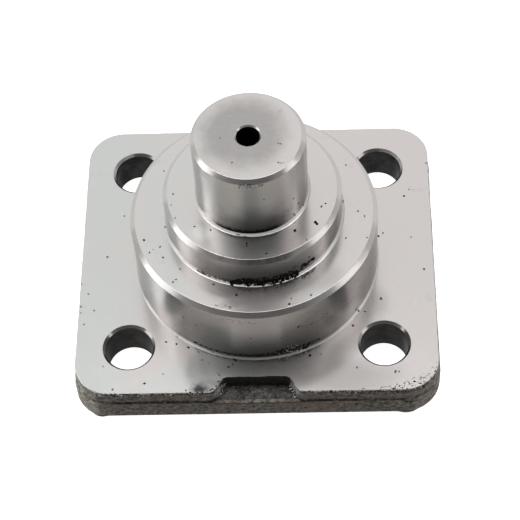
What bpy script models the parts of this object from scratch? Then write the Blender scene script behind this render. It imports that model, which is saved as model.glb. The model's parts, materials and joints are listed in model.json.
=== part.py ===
"""Flanged king pin: a forged steel flange with a stepped pin turned on it, in one piece."""
import math

import bmesh
import bpy
from mathutils import Vector

# Driving dimensions, in metres. The origin is under the middle of the flange's outline box.

# Bolt pattern, sized for M16 bolts
BOLT_SPACING_X = 0.093
BOLT_SPACING_Y = 0.079
BOLT_HOLE_DIAMETER = 0.0175
BOLT_HOLE_CHAMFER = 0.0009
BOLT_EDGE_DISTANCE = 0.0198

# Forged flange; its outline is measured at the parting line
FLANGE_THICKNESS = 0.0155
FLANGE_CORNER_RADIUS = 0.0135
FLANGE_DRAFT = math.radians(3.0)
PARTING_HEIGHT = 0.0078
UNDERSIDE_CHAMFER = 0.0008

# Pry slot in the front edge, cut from the top face down to the parting line
SLOT_DEPTH = 0.006
SLOT_FLOOR_WIDTH = 0.0255
SLOT_FLANK_RUN = 0.0032
SLOT_INNER_RADIUS = 0.0018
SLOT_MOUTH_RADIUS = 0.0035

# Forged lug on the rear edge
LUG_DEPTH = 0.006
LUG_TIP_WIDTH = 0.023
LUG_FLANK_RUN = 0.012
LUG_TIP_RADIUS = 0.004
LUG_ROOT_RADIUS = 0.004

# Turned steps, from the flange up; each height is the step's own
PILOT_DIAMETER = 0.090
PILOT_HEIGHT = 0.0287
PILOT_CHAMFER = 0.0016
SHOULDER_DIAMETER = 0.064
SHOULDER_HEIGHT = 0.0138
SHOULDER_CHAMFER = 0.0015
PIN_DIAMETER = 0.040
PIN_HEIGHT = 0.0308
PIN_CHAMFER = 0.0014
FOOT_FILLET = 0.001

# Grease passage, drilled right through on the pin's axis
GREASE_HOLE_DIAMETER = 0.0084
GREASE_HOLE_CHAMFER = 0.0005

# Worked out from the driving dimensions
FLANGE_WIDTH = BOLT_SPACING_X + 2 * BOLT_EDGE_DISTANCE
FLANGE_DEPTH = BOLT_SPACING_Y + 2 * BOLT_EDGE_DISTANCE
PIN_AXIS_Y = -LUG_DEPTH / 2
FRONT_Y = PIN_AXIS_Y - FLANGE_DEPTH / 2
REAR_Y = PIN_AXIS_Y + FLANGE_DEPTH / 2
PILOT_TOP = FLANGE_THICKNESS + PILOT_HEIGHT
SHOULDER_TOP = PILOT_TOP + SHOULDER_HEIGHT
PIN_TOP = SHOULDER_TOP + PIN_HEIGHT

# Modelling values: a cutter runs past the face that it opens, and the pilot's foot fillet ends
# a little under the flange's face, so that the two cross instead of touching
OVERRUN = 0.004
FILLET_DIP = 0.00004
TURNED_SEGMENTS = 96
HOLE_SEGMENTS = 40
CORNER_SEGMENTS = 10
FILLET_SEGMENTS = 4
SHARP_ANGLE = math.radians(30.0)


def clear_scene():
    for scene_object in list(bpy.data.objects):
        bpy.data.objects.remove(scene_object, do_unlink=True)


def steel_material():
    material = bpy.data.materials.new("machined_forged_steel")
    material.use_nodes = True
    shader = material.node_tree.nodes["Principled BSDF"]
    shader.inputs["Base Color"].default_value = (0.47, 0.46, 0.44, 1.0)
    shader.inputs["Roughness"].default_value = 0.38
    shader.inputs["Metallic"].default_value = 1.0
    return material


def new_object(name, mesh):
    scene_object = bpy.data.objects.new(name, mesh)
    bpy.context.scene.collection.objects.link(scene_object)
    return scene_object


def hide_helper(helper):
    helper.hide_render = True
    helper.display_type = "WIRE"
    return helper


def rounded_outline(corners):
    """A closed outline from (x, y, radius) corners; an arc rounds each that has a radius."""
    points = []
    count = len(corners)
    for index, (x, y, radius) in enumerate(corners):
        corner = Vector((x, y))
        if radius == 0:
            points.append(corner)
            continue
        before = (Vector(corners[index - 1][:2]) - corner).normalized()
        after = (Vector(corners[(index + 1) % count][:2]) - corner).normalized()
        half_angle = before.angle(after) / 2
        centre = corner + (before + after).normalized() * radius / math.sin(half_angle)
        start = corner + before * radius / math.tan(half_angle) - centre
        sweep = start.angle_signed(corner + after * radius / math.tan(half_angle) - centre)
        for step in range(CORNER_SEGMENTS + 1):
            turn = -sweep * step / CORNER_SEGMENTS
            arm = Vector((start.x * math.cos(turn) - start.y * math.sin(turn),
                          start.x * math.sin(turn) + start.y * math.cos(turn)))
            points.append(centre + arm)
    return points


def inset_outline(points, distance):
    """The same counterclockwise outline, moved inwards by a distance along its normals."""
    moved = []
    for index, point in enumerate(points):
        before = (point - points[index - 1]).normalized()
        after = (points[(index + 1) % len(points)] - point).normalized()
        normal = Vector((-(before.y + after.y), before.x + after.x)).normalized()
        inward_before = Vector((-before.y, before.x))
        moved.append(point + normal * distance / normal.dot(inward_before))
    return moved


def stacked_mesh(name, layers):
    """A closed mesh through outlines of equal point counts at rising heights."""
    shape = bmesh.new()
    rings = [[shape.verts.new((point.x, point.y, height)) for point in outline]
             for height, outline in layers]
    count = len(rings[0])
    for lower, upper in zip(rings, rings[1:]):
        for index in range(count):
            following = (index + 1) % count
            shape.faces.new((lower[index], lower[following], upper[following], upper[index]))
    shape.faces.new(reversed(rings[0]))
    shape.faces.new(rings[-1])
    mesh = bpy.data.meshes.new(name)
    shape.to_mesh(mesh)
    shape.free()
    return mesh


def turned_object(name, profile, segments, x=0.0, y=0.0):
    """A solid turned about a vertical axis from (radius, height) points, top to bottom."""
    mesh = bpy.data.meshes.new(name)
    edges = [(index, index + 1) for index in range(len(profile) - 1)]
    mesh.from_pydata([(radius, 0.0, height) for radius, height in profile], edges, [])
    turned = new_object(name, mesh)
    turned.location = (x, y, 0.0)
    screw = turned.modifiers.new("turning", "SCREW")
    screw.axis = "Z"
    screw.angle = 2 * math.pi
    screw.steps = segments
    screw.render_steps = segments
    screw.use_merge_vertices = True
    screw.merge_threshold = 0.000001
    return hide_helper(turned)


def foot_fillet(radius, floor):
    """Profile points of the fillet where a wall of this radius meets the floor below it."""
    centre_radius = radius + FOOT_FILLET
    centre_height = floor + FOOT_FILLET
    points = []
    for step in range(FILLET_SEGMENTS + 1):
        angle = math.pi + step / FILLET_SEGMENTS * math.pi / 2
        points.append((centre_radius + FOOT_FILLET * math.cos(angle),
                       centre_height + FOOT_FILLET * math.sin(angle)))
    return points


def step_profile(diameter, top, chamfer):
    """Profile points of a chamfered step's upper edge."""
    return [(diameter / 2 - chamfer, top), (diameter / 2, top - chamfer)]


def flange_outline():
    half_width = FLANGE_WIDTH / 2
    lug_tip = LUG_TIP_WIDTH / 2
    lug_root = lug_tip + LUG_FLANK_RUN
    return rounded_outline([
        (-half_width, FRONT_Y, FLANGE_CORNER_RADIUS),
        (half_width, FRONT_Y, FLANGE_CORNER_RADIUS),
        (half_width, REAR_Y, FLANGE_CORNER_RADIUS),
        (lug_root, REAR_Y, LUG_ROOT_RADIUS),
        (lug_tip, REAR_Y + LUG_DEPTH, LUG_TIP_RADIUS),
        (-lug_tip, REAR_Y + LUG_DEPTH, LUG_TIP_RADIUS),
        (-lug_root, REAR_Y, LUG_ROOT_RADIUS),
        (-half_width, REAR_Y, FLANGE_CORNER_RADIUS),
    ])


def flange():
    """The forging: drafted both ways from its parting line, with a chamfered lower edge."""
    outline = flange_outline()
    slope = math.tan(FLANGE_DRAFT)
    layers = [
        (0.0, inset_outline(outline, PARTING_HEIGHT * slope + UNDERSIDE_CHAMFER)),
        (UNDERSIDE_CHAMFER, inset_outline(outline, (PARTING_HEIGHT - UNDERSIDE_CHAMFER) * slope)),
        (PARTING_HEIGHT, outline),
        (FLANGE_THICKNESS, inset_outline(outline, (FLANGE_THICKNESS - PARTING_HEIGHT) * slope)),
    ]
    return new_object("king_pin", stacked_mesh("king_pin", layers))


def slot_cutter():
    """The pry slot: a trapezoid that widens and flares towards the front edge."""
    floor_half = SLOT_FLOOR_WIDTH / 2
    mouth_half = floor_half + SLOT_FLANK_RUN
    wide_half = mouth_half + SLOT_MOUTH_RADIUS * 2
    inner_y = FRONT_Y + SLOT_DEPTH
    outside_y = FRONT_Y - OVERRUN
    outline = rounded_outline([
        (-wide_half, outside_y, 0.0),
        (wide_half, outside_y, 0.0),
        (wide_half, FRONT_Y, 0.0),
        (mouth_half, FRONT_Y, SLOT_MOUTH_RADIUS),
        (floor_half, inner_y, SLOT_INNER_RADIUS),
        (-floor_half, inner_y, SLOT_INNER_RADIUS),
        (-mouth_half, FRONT_Y, SLOT_MOUTH_RADIUS),
        (-wide_half, FRONT_Y, 0.0),
    ])
    layers = [(PARTING_HEIGHT, outline), (FLANGE_THICKNESS + OVERRUN, outline)]
    return hide_helper(new_object("slot_cutter", stacked_mesh("slot_cutter", layers)))


def stepped_pin():
    """The turned steps, from the pin's end face down into the flange."""
    profile = [(0.0, PIN_TOP)]
    profile += step_profile(PIN_DIAMETER, PIN_TOP, PIN_CHAMFER)
    profile += foot_fillet(PIN_DIAMETER / 2, SHOULDER_TOP)
    profile += step_profile(SHOULDER_DIAMETER, SHOULDER_TOP, SHOULDER_CHAMFER)
    profile += foot_fillet(SHOULDER_DIAMETER / 2, PILOT_TOP)
    profile += step_profile(PILOT_DIAMETER, PILOT_TOP, PILOT_CHAMFER)
    profile += foot_fillet(PILOT_DIAMETER / 2, FLANGE_THICKNESS - FILLET_DIP)
    profile += [(PILOT_DIAMETER / 2 + FOOT_FILLET, PARTING_HEIGHT), (0.0, PARTING_HEIGHT)]
    return turned_object("stepped_pin", profile, TURNED_SEGMENTS, y=PIN_AXIS_Y)


def hole_cutter(name, diameter, chamfer, top, x, y):
    """A drill from the underside to the face at top, with a countersink at both rims."""
    radius = diameter / 2
    flare = radius + chamfer + OVERRUN
    profile = [
        (0.0, top + OVERRUN),
        (flare, top + OVERRUN),
        (radius, top - chamfer),
        (radius, chamfer),
        (flare, -OVERRUN),
        (0.0, -OVERRUN),
    ]
    return turned_object(name, profile, HOLE_SEGMENTS, x, y)


def bolt_hole_cutters():
    cutters = []
    for row, side_y in (("front", -1), ("rear", 1)):
        for column, side_x in (("left", -1), ("right", 1)):
            cutters.append(hole_cutter(
                f"bolt_hole_{row}_{column}", BOLT_HOLE_DIAMETER, BOLT_HOLE_CHAMFER,
                FLANGE_THICKNESS, side_x * BOLT_SPACING_X / 2,
                PIN_AXIS_Y + side_y * BOLT_SPACING_Y / 2))
    return cutters


def grease_cutter():
    return hole_cutter("grease_hole", GREASE_HOLE_DIAMETER, GREASE_HOLE_CHAMFER,
                       PIN_TOP, 0.0, PIN_AXIS_Y)


def combine(target, other, operation):
    boolean = target.modifiers.new(f"{operation.lower()}_{other.name}", "BOOLEAN")
    boolean.operation = operation
    boolean.object = other
    boolean.solver = "EXACT"


def finish_mesh(target):
    """Keeps the evaluated shape as the mesh, so that its shading is set on the final edges."""
    graph = bpy.context.evaluated_depsgraph_get()
    shaped = bpy.data.meshes.new_from_object(target.evaluated_get(graph))
    target.modifiers.clear()
    target.data = shaped
    shaped.name = target.name
    shaped.shade_smooth()
    shaped.set_sharp_from_angle(angle=SHARP_ANGLE)


def main():
    clear_scene()
    king_pin = flange()
    combine(king_pin, slot_cutter(), "DIFFERENCE")
    combine(king_pin, stepped_pin(), "UNION")
    for cutter in bolt_hole_cutters():
        combine(king_pin, cutter, "DIFFERENCE")
    combine(king_pin, grease_cutter(), "DIFFERENCE")
    finish_mesh(king_pin)
    king_pin.data.materials.clear()
    king_pin.data.materials.append(steel_material())


main()
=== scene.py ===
"""Flanged king pin: the turned and forged surfaces, the grime and pits, and the studio."""
import json
import math
import random

import bmesh
import bpy
from bpy.props import (
    FloatProperty,
    FloatVectorProperty,
    IntProperty,
    PointerProperty,
)
from mathutils import Matrix, Vector, noise
from mathutils.bvhtree import BVHTree


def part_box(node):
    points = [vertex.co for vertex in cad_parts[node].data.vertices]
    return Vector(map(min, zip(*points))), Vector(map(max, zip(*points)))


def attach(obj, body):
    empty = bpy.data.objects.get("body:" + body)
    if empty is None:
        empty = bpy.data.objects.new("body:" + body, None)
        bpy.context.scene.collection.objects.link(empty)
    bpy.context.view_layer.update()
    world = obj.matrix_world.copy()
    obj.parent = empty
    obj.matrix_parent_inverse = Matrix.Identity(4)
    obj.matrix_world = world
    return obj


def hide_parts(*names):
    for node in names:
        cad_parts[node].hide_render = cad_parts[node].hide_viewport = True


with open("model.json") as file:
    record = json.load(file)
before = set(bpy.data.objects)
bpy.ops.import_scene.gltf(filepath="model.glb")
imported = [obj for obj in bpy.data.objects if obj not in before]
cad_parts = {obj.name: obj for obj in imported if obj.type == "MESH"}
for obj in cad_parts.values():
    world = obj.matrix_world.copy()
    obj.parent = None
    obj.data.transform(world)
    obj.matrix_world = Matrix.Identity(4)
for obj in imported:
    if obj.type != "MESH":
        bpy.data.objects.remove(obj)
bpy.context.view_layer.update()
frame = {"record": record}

bl_info = {
    "name": "Flanged King Pin",
    "version": (1, 0, 0),
    "blender": (4, 5, 0),
    "location": "View3D > Sidebar > King Pin",
    "description": "Turned and forged surfaces, grime and studio of a flanged king pin",
    "category": "Object",
}

# The solid that the finished pin stands for
NODE = "king_pin"
BODY = "root"
LOW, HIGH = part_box(NODE)
FACES = {mount["name"]: Vector(mount["pos_m"]) for mount in frame["record"]["mounts"]}

# Heights of the machined faces and the pin's axis, as the solid has them
FLANGE_TOP = FACES["flange_face"].z
PILOT_TOP = FACES["pilot_face"].z
SHOULDER_TOP = FACES["shoulder_face"].z
PIN_TOP = FACES["pin_end"].z
AXIS_Y = FACES["pin_end"].y
HALF_WIDTH = HIGH.x
FRONT_Y = LOW.y
REAR_Y = 2 * AXIS_Y - FRONT_Y
LUG_TIP_Y = HIGH.y

# The photograph's frame and camera
PHOTO_SIZE = 520
CAMERA_LENS = 124.62
SENSOR_WIDTH = 36.0
CAMERA_EYE = Vector((0.02666, -0.38043, 0.57637))
CAMERA_AIM = Vector((0.00177, -0.01495, 0.03))
CAMERA_ROLL = math.radians(-4.317)

# Dark pits on the steel, then fainter marks: (x, y, radius) in pixels of the photograph
PITS = (
    (144, 240, 1.3), (149.5, 252.5, 1.0), (295, 230.5, 1.5), (315.4, 222.2, 1.5), (317, 224, 1.5),
    (266.5, 253.5, 1.2), (232, 285, 1.6), (236.5, 295, 1.3), (298.5, 326.5, 1.3), (310, 355.5, 1.2),
    (353, 325.5, 1.2), (365, 311.5, 1.0), (356, 309.5, 1.1), (358.5, 310.7, 1.2), (346, 165, 0.9),
    (321.5, 206.5, 1.3), (325.5, 203.5, 0.9), (343, 200.5, 0.8), (343, 202, 0.7), (378, 236, 1.2),
    (176.5, 344, 1.1), (188.5, 347.5, 1.1), (144.5, 383.5, 1.2), (183, 317, 0.9), (294, 214, 1.3),
    (295, 215.5, 0.9), (303.5, 205, 1.2), (298.5, 203.5, 1.0), (246.7, 243.5, 1.1), (246.8, 246, 0.9),
    (228.5, 367, 1.1), (232.5, 364.3, 1.0), (234, 358.8, 0.9), (235, 359.8, 1.0), (236, 361, 0.8),
    (213.5, 284.3, 1.2), (309, 257, 1.2), (289.3, 304, 1.0), (293.5, 198.5, 0.9),
    (218.2, 381.6, 1.1), (216, 386.2, 1.1), (212.3, 389, 1.2), (210.6, 390.2, 0.9),
    (414.3, 381.5, 1.2), (393.7, 388.6, 0.9), (363.5, 388.5, 0.8), (424.5, 381.8, 0.8),
    (431, 377.8, 0.8), (433.8, 379, 0.9), (421, 383, 0.7), (434.8, 371.4, 0.8), (404.5, 383.5, 0.7),
    (420.8, 378.8, 0.6), (423.5, 378, 0.6), (407, 388.5, 0.7), (402.5, 387.8, 0.8), (399.5, 386.2, 0.6),
    (228.5, 411.5, 1.2), (305.5, 407.5, 1.2), (356, 404.5, 1.3), (366.5, 401.7, 1.1), (294.8, 402, 1.0),
    (406.8, 401.8, 1.0), (411.5, 402, 1.0), (342, 397, 0.8), (370.5, 397.3, 0.9),
)
FAINT_MARKS = (
    (163, 257.5, 1.0), (160, 247, 0.9), (165, 227, 1.0), (107.5, 257, 1.1), (88.5, 294, 1.1),
    (94, 310.5, 1.0), (173, 282, 1.2), (196, 325, 1.0), (212.8, 352, 0.9), (103, 366.5, 0.9),
    (404, 196, 1.1), (358, 211, 1.0), (364.5, 216, 1.0), (346, 238, 1.0), (367, 237.5, 0.9),
    (375.5, 258, 0.9), (424, 269, 1.3), (381, 298.5, 1.4), (329, 296.5, 0.9), (220.5, 258.5, 1.0),
    (223, 257, 0.8), (210.5, 230, 1.0), (194.5, 226.5, 1.0), (311, 324.5, 0.9), (278, 143.2, 0.9),
    (280.5, 143.8, 1.0), (278.5, 162.5, 0.8), (281, 163, 0.8), (283.5, 162.6, 0.7), (235.5, 366, 0.8),
    (186, 390.5, 1.0), (124.5, 216, 0.9), (175, 218, 0.9), (153, 249.5, 0.7), (176, 279.5, 0.8),
    (180, 269, 0.8), (171, 205, 0.8), (173, 194, 0.8), (164, 171, 0.7), (84, 324.5, 1.0),
    (409, 189.5, 0.8), (383, 233, 0.8), (411, 237, 0.8), (426, 163, 0.7), (428, 172, 0.7),
    (177, 337, 0.9), (166, 342, 0.9), (163, 374, 0.9), (202, 360, 0.9),
    (198.5, 352, 0.8), (208.5, 363, 0.9), (219, 375, 1.0), (250.2, 369.7, 1.2), (307.5, 327.5, 1.0),
    (357, 367.5, 1.0), (399, 371.5, 1.1), (321, 354, 0.9), (232, 162.5, 0.8), (220, 138, 0.8),
    (306.5, 239.5, 1.0), (256.5, 296, 1.0), (311, 295, 0.9), (264, 199.5, 0.9), (291.2, 298.3, 0.8),
    (250.5, 338.5, 0.9), (281.5, 338.5, 0.8), (317, 332.5, 0.9), (395.5, 371.5, 1.2), (112.5, 389.5, 1.2),
    (81.6, 284.3, 0.8), (80.9, 306.6, 0.9), (80.7, 313.0, 0.8),
)

# Bands of dirt, chips and specks along the photograph, some of them painted shadow or painted highlights:
# rows of (x, upper y, lower y)
SHOULDER_FOOT_CRUST = (
    (230, 281.5, 283.5), (236, 279.5, 284), (243, 278.5, 285), (250, 278.5, 285.8), (258, 278, 285.6),
    (265, 277.5, 285), (272, 277, 284), (278, 275.5, 283), (284, 273.5, 281.5), (290, 271.5, 279),
    (296, 270.5, 277), (299, 270, 275.5),
)
SHOULDER_FOOT_CHIPS = ((246, 282.5, 286.5), (262, 282.5, 286.5), (276, 280, 284), (290, 276, 281),
                       (300, 271.5, 277))
SHOULDER_FOOT_EDGE = (
    (197, 268.3, 270.5), (203, 271.8, 274), (210, 274.8, 277), (217, 277.3, 279.2), (225, 279.8, 281.6),
    (232, 281.3, 283),
)
SHOULDER_FOOT_CLOTS = (
    (301, 266.5, 270), (303, 263.5, 267.5), (306, 262.5, 266), (309, 260.5, 263.5), (312, 257.5, 261),
    (314.5, 257, 260),
)
SHOULDER_WALL_SMEAR = ((292, 267.5, 269.5), (295, 266, 268.5), (299, 265.5, 268))
PILOT_FOOT_EDGE = (
    (193, 340.2, 342), (200, 344, 346.3), (208, 347.2, 349.6), (216, 350, 352), (225, 352, 354),
    (235, 353.4, 355.4), (245, 354.2, 356), (258, 354.2, 355.8), (270, 353, 355), (279, 350.6, 354),
)
PILOT_FOOT_CRUST = (
    (277, 350.6, 355.2), (283, 348.3, 353.5), (289, 346.2, 352.5), (295, 345, 351.5), (300, 345.3, 350.8),
    (306, 343.8, 348.6), (310, 342.4, 346),
)
PILOT_FOOT_LINE = ((308, 342.4, 344.2), (313, 340.4, 342.2), (319.5, 337.6, 339.2))
PIN_FOOT_EDGE = (
    (216, 223, 224.4), (223, 226.4, 228), (230, 228.6, 230.6), (238, 230.2, 232.2), (247, 231, 233),
    (258, 230.8, 232.8), (266, 229.2, 231), (272, 227.4, 228.8), (279, 225, 226),
)
PIN_FOOT_CLOT = ((236.5, 232.5, 235.5), (238.5, 234, 237), (242, 236, 237.2), (249, 236.8, 237.8))
PIN_TOP_CRUMBS = ((237, 184.6, 188), (247, 184, 189), (257, 184.2, 188), (263, 183.8, 185.8))
PILOT_TOP_CRUMBS = ((218, 315.5, 319), (228, 318.5, 322), (240, 319.5, 324.5), (256, 319.5, 323.5))
FACE_SCRATCH = ((214, 304.6, 306.6), (223, 304.8, 307.2), (232, 306, 308.4))
SLOT_CORNER_DIRT = ((194, 385.5, 390), (202, 386.5, 391), (209, 388, 391.5), (214, 389.5, 391))
# The slot's flank bands hold bright crumbs that are painted highlights
SLOT_LEFT_FLANK_HIGHLIGHTS = ((217, 391, 397), (220, 387, 396), (226, 382, 388))
SLOT_FLOOR_GRAINS = ((222, 392, 400), (240, 387, 400), (275, 386.5, 400), (292, 393, 399))
SLOT_RIGHT_FLANK_HIGHLIGHTS = ((289, 383, 389), (293, 387, 396), (297, 392, 398))
PIN_FOOT_CHIPS = ((286, 213, 223), (293, 208, 219), (300, 204, 212))
# Front edge bands: dark specks, partly a painted shadow line under the burr, and bright burr
FRONT_EDGE_LEFT = ((96, 393.6, 395.8), (125, 393.8, 396.2), (160, 393.8, 396), (200, 392.2, 394.8),
                   (212, 390.5, 392.5))
FRONT_EDGE_RIGHT = ((302, 390.6, 392.4), (350, 390.7, 392.6), (390, 390.4, 393.4), (412, 388.9, 391.2),
                    (425, 385.2, 387.2))
RIGHT_CORNER_SPECKS = ((380, 387.5, 390), (392, 385, 389.5), (402, 381.5, 388.5), (413, 377.5, 386.5),
                       (421, 375, 383.5), (429, 370, 378.5), (437, 360, 370))

# Soft stains on the level faces: (x, y, face, half width, half height, strength, raggedness)
LEVEL_STAINS = (
    (199.5, 391, FLANGE_TOP, 13, 9, 1.0, 1.3), (206, 386, FLANGE_TOP, 18, 9, 0.3, 0.8),
    (197, 372, FLANGE_TOP, 16, 28, 0.26, 0.3), (280.5, 111, PIN_TOP, 4, 3.5, 0.14, 0.3),
    (300, 318, PILOT_TOP, 34, 14, 0.32, 0.2), (288, 248, SHOULDER_TOP, 26, 12, 0.2, 0.2),
    (232, 304, PILOT_TOP, 18, 6, 0.25, 0.3), (345, 378, FLANGE_TOP, 78, 30, 0.3, 0.1),
    (380, 303, FLANGE_TOP, 14, 22, 0.2, 0.2), (320, 276, PILOT_TOP, 30, 20, 0.24, 0.1),
    (294, 234, SHOULDER_TOP, 22, 14, 0.24, 0.1),
)

# Soft painted highlights, bright gleams, on the level faces, in the same way
LEVEL_GLEAMS = ((206, 215, SHOULDER_TOP, 10, 11, 0.9, 0.0), (203, 233, SHOULDER_TOP, 16, 12, 0.4, 0.0),
                (298, 213, SHOULDER_TOP, 9, 10, 0.6, 0.0))

# Where the soft lights stand, the floor's gap and the colours of the light
LIT_POINT = Vector((0.0, 0.0, 0.04))
LIGHT_DISTANCE = 1.2
FLOOR_GAP = 0.0002
WHITE_LIGHT = (1.0, 1.0, 1.0)
WARM_LIGHT = (1.0, 0.93, 0.86)
ROOM_COLOR = (0.994, 1.0, 0.992, 1.0)

# Soft lights: (name, azimuth, elevation, width, height, brightness setting, share of it, colour)
SOFTBOXES = (
    ("top_softbox", 180, 84, 50, 26, "top_softbox", 1.0, WHITE_LIGHT),
    ("left_softbox", -79, 20, 30, 26, "left_softbox", 0.75, WHITE_LIGHT),
    ("left_softbox_above", -90, 48, 14, 32, "left_softbox", 0.75, WHITE_LIGHT),
    ("right_softbox", 76, 20, 22, 26, "right_softbox", 1.0, WHITE_LIGHT),
    ("right_softbox_above", 91, 52, 9, 26, "right_softbox", 0.85, WHITE_LIGHT),
    ("left_strip", -82, -12, 16, 36, "left_strip", 1.0, WHITE_LIGHT),
    ("right_strip", 90, -12, 12, 36, "right_strip", 1.0, WHITE_LIGHT),
    ("front_bounce_left", -34, -30, 34, 26, "front_bounce", 1.05, WARM_LIGHT),
    ("front_bounce_right", 34, -30, 34, 26, "front_bounce", 0.65, WARM_LIGHT),
    ("front_bounce_low", 0, -62, 100, 34, "front_bounce", 0.95, WARM_LIGHT),
)

# The dirt at the foot of each step, which is partly painted shade, lies in front, a little to the right,
# where the walls' painted shade and highlight are also centred; on the pin the dirt lies to the left
DIRT_AND_SHADE_MIDDLE = math.radians(9)
PIN_DIRT_AND_SHADE_MIDDLE = math.radians(-3)

# Height of the dark line that runs along the forged sides
PARTING_SHADOW = 0.0093

# Lumps of flash below the parting line of the front edge: (x, half width)
FLASH_LUMPS = ((-0.0578, 0.0021), (0.0546, 0.0028))

# How a cut or a joint between two shapes is laid out
OVERRUN = 0.004
FILLET_DIP = 0.00004
WELD_DISTANCE = 0.000001
HAIR = 0.00001
ARC_STEPS = 6
OUTLINE_ARC_STEPS = 24
DRILL_SEGMENTS = 128
SLOT_CUTS = 44
WIDE_FACE_CORNERS = 12
SHARP_ANGLE = math.radians(32)
LEVEL = 0.99

# How the forging's two halves meet at the parting line
LEDGE_RUN = 0.0012
RIDGE_REACH = 0.0005
HOLLOW_RISE = 0.0011
HOLLOW_REACH = 0.0006
RIM_RUN = 0.001

# Lumps of the forged skin: how many a metre along it and up it, and how they mix
LUMPS_ALONG = 260
LUMPS_UP = 620
GRAINS_ALONG = 1300
GRAINS_UP = 2100
LUMP_ROUGHNESS = 0.8
LUMP_LACUNARITY = 2.1
LUMP_OCTAVES = 3
BROAD_SHARE = 0.8
FINE_SHARE = 0.45

# How much coarser and higher the lumps are in the slot, and where the slot's skin starts
SLOT_LUMP_SPREAD = 0.8
SLOT_LUMP_HEIGHT = 1.6
SLOT_MOUTH_FLARE = 0.8
SLOT_RIM = 0.0009
SLOT_FLOOR_MARGIN = 0.0006

# Rings that the cutting tool left
RINGS_PER_METRE = 1700.0
RING_SPREAD = 16.0
RING_TILT = 1.37

# Radii that tell the three turned walls apart
PAST_SHOULDER = 0.038
PAST_PIN = 0.026
ON_PILOT = 0.04

# Tints of the steel, the colour of the painted shade on the walls, and where the pin's end is darker in
# the middle
COOL_TINT = (0.975, 1.0, 1.0)
WARM_TINT = (1.03, 0.985, 0.985)
BROWN_TINT = (1.12, 0.98, 0.92)
PAINTED_SHADE_COLOR = (0.075, 0.078, 0.073)
PIN_END_DARK_MIDDLE = (0.0018, 0.0008)

# How strongly a stain keeps to its own level, and the size of marks and crumbs
STAIN_LEVEL_SHARE = 400.0
MARK_SIZE = 1.4
CRUMB_NOISE_SCALE = 2600.0

# Materials of the finished pin, in the order of its slots
TURNED, FACED, FORGED, BORED, SLOTTED = range(5)


def length(name, description, default):
    """A size in metres."""
    return FloatProperty(name=name, description=description, default=default, unit="LENGTH")


def slope(name, description, degrees):
    return FloatProperty(
        name=name, description=description, default=math.radians(degrees), unit="ROTATION")


def surface_color(name, description, default):
    return FloatVectorProperty(
        name=name, description=description, subtype="COLOR", size=3, min=0, max=1, default=default)


def surface_share(name, description, default):
    return FloatProperty(name=name, description=description, default=default, min=0, max=1)


def light_level(name, description, default):
    return FloatProperty(name=name, description=description, default=default)


class KingPinSizes(bpy.types.PropertyGroup):
    """Sizes of the pin and its flange that the solid's box doesn't give."""

    pilot_diameter: length("Pilot Diameter", "The widest turned step", 0.090)
    shoulder_diameter: length("Shoulder Diameter", "The middle turned step", 0.064)
    pin_diameter: length("Pin Diameter", "The journal at the top", 0.040)
    pilot_chamfer: length("Pilot Chamfer", "Chamfer of the widest step", 0.0016)
    shoulder_chamfer: length("Shoulder Chamfer", "Chamfer of the middle step", 0.0015)
    pin_chamfer: length("Pin Chamfer", "Chamfer of the pin's end", 0.0014)
    foot_fillet: length("Foot Fillet", "Radius where a step meets its face", 0.001)
    edge_radius: length("Edge Radius", "Small rounding of turned edges", 0.0003)
    grease_diameter: length("Grease Hole", "Diameter of the drilled passage", 0.0084)
    grease_chamfer: length("Grease Chamfer", "Countersink of the passage", 0.0005)
    bolt_spacing: FloatVectorProperty(
        name="Bolt Spacing", description="Bolt pattern along X and Y", size=2,
        default=(0.093, 0.079), unit="LENGTH")
    bolt_diameter: length("Bolt Hole", "Diameter of a bolt hole", 0.0175)
    bolt_chamfer: length("Bolt Chamfer", "Countersink of a bolt hole", 0.0009)
    corner_radius: length("Corner Radius", "Outline radius of the flange", 0.0135)
    draft: slope("Draft", "Slope of the sides above the parting line", 3)
    lower_draft: slope("Lower Draft", "Slope of the sides below the parting line", -0.4)
    lower_overhang: length("Lower Overhang", "How far the lower half stands out in front", 0.0005)
    lower_left_radius: length("Lower Left Radius", "Front left corner of the lower half", 0.0121)
    lower_right_radius: length("Lower Right Radius", "Front right corner of the lower half", 0.0137)
    parting_height: length("Parting Line", "Height of the forging's parting line", 0.0090)
    underside_radius: length("Underside Radius", "Rounding of the lower edge", 0.0004)
    slot_depth: length("Slot Depth", "How far the pry slot runs in", 0.0067)
    slot_floor_width: length("Slot Width", "Width at the slot's inner wall", 0.0258)
    slot_flank_run: length("Slot Flank", "How far each flank opens", 0.0015)
    slot_inner_radius: length("Slot Inner Radius", "Rounding of the inner corners", 0.0026)
    slot_mouth_radius: length("Slot Mouth Radius", "Rounding of the mouth's corners", 0.0042)
    lug_tip_width: length("Lug Width", "Width of the rear lug's end", 0.023)
    lug_flank_run: length("Lug Flank", "How far each of its flanks runs", 0.012)
    lug_radius: length("Lug Radius", "Rounding of the lug's corners", 0.004)


class KingPinFinish(bpy.types.PropertyGroup):
    """Colours and relief of the surfaces."""

    steel_color: surface_color("Bright Steel", "Colour of the turned steel", (0.618, 0.609, 0.598))
    scale_color: surface_color("Forging Scale", "Colour of the forged skin", (0.152, 0.139, 0.123))
    grime_color: surface_color("Grime", "Colour of dried grease and dirt", (0.006, 0.0055, 0.005))
    wall_roughness: surface_share("Wall Roughness", "Roughness of turned walls", 0.28)
    face_roughness: surface_share("Face Roughness", "Roughness of level faces", 0.18)
    forging_relief: length("Forging Relief", "Height of the forged skin's lumps", 0.00013)
    parting_ridge: length("Parting Ridge", "Height of the trimmed flash", 0.0003)
    flash_lump: length("Flash Lump", "How far the lumps of flash stand out", 0.0006)
    skin_step: length("Skin Step", "Spacing of the forged skin's mesh", 0.0007)
    turning_segments: IntProperty(
        name="Turning Segments", description="Facets round a turned step", default=288)
    seed: IntProperty(name="Seed", description="Seed of everything scattered", default=7)


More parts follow.
